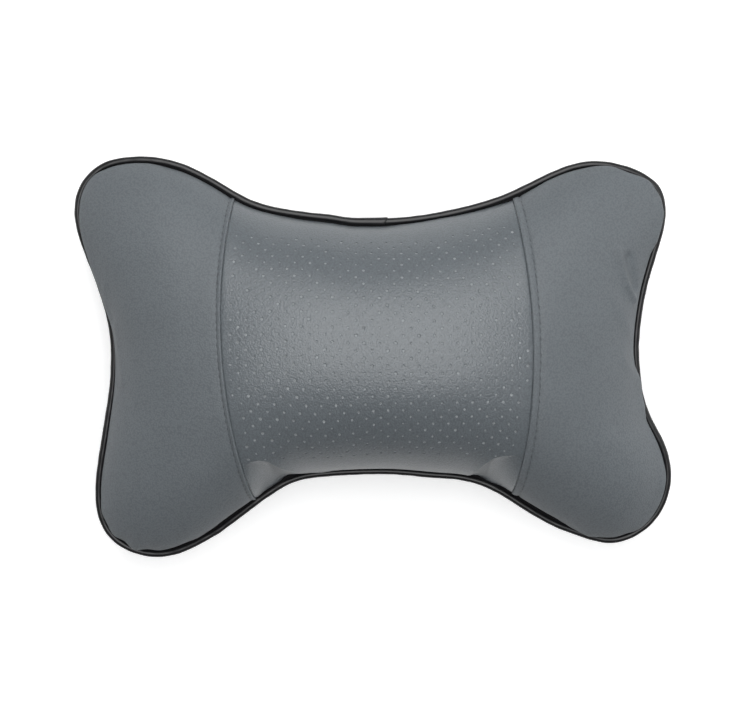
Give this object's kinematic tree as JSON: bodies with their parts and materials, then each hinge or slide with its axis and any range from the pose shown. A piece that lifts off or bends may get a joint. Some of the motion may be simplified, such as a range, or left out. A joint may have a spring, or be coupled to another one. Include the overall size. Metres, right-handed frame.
{
  "type": "car neck pillow",
  "caption": "Bone-shaped car headrest neck pillow in grey leathercloth with a punched centre panel, black piped edge and back strap.",
  "frame": {"origin": "under the middle of the pillow, on the plane that it lies on", "axes": "+X along the pillow to its right lobes, +Y to the upper edge as worn, +Z out of the front panels"},
  "size_m": [0.2799, 0.1898, 0.0917],
  "materials": {
    "grey_leather": "fine pebble grain, satin",
    "punched_leather": "fine pebble grain, punched all over, satin",
    "foam": "pale open foam",
    "black_piping": "smooth, semi-gloss",
    "piping_cord": "twisted cord",
    "fibre": "loose fibre",
    "elastic": "woven elastic"
  },
  "bodies": {
    "root": {"front_left_panel": "grey_leather", "front_centre_panel": "punched_leather", "front_right_panel": "grey_leather", "centre_foam_backing": "foam", "back_panel": "grey_leather", "piping_strip": "black_piping", "piping_joint_wrap": "black_piping", "piping_cord": "piping_cord", "filling": "fibre", "elastic_strap": "elastic"}
  },
  "joints": []
}
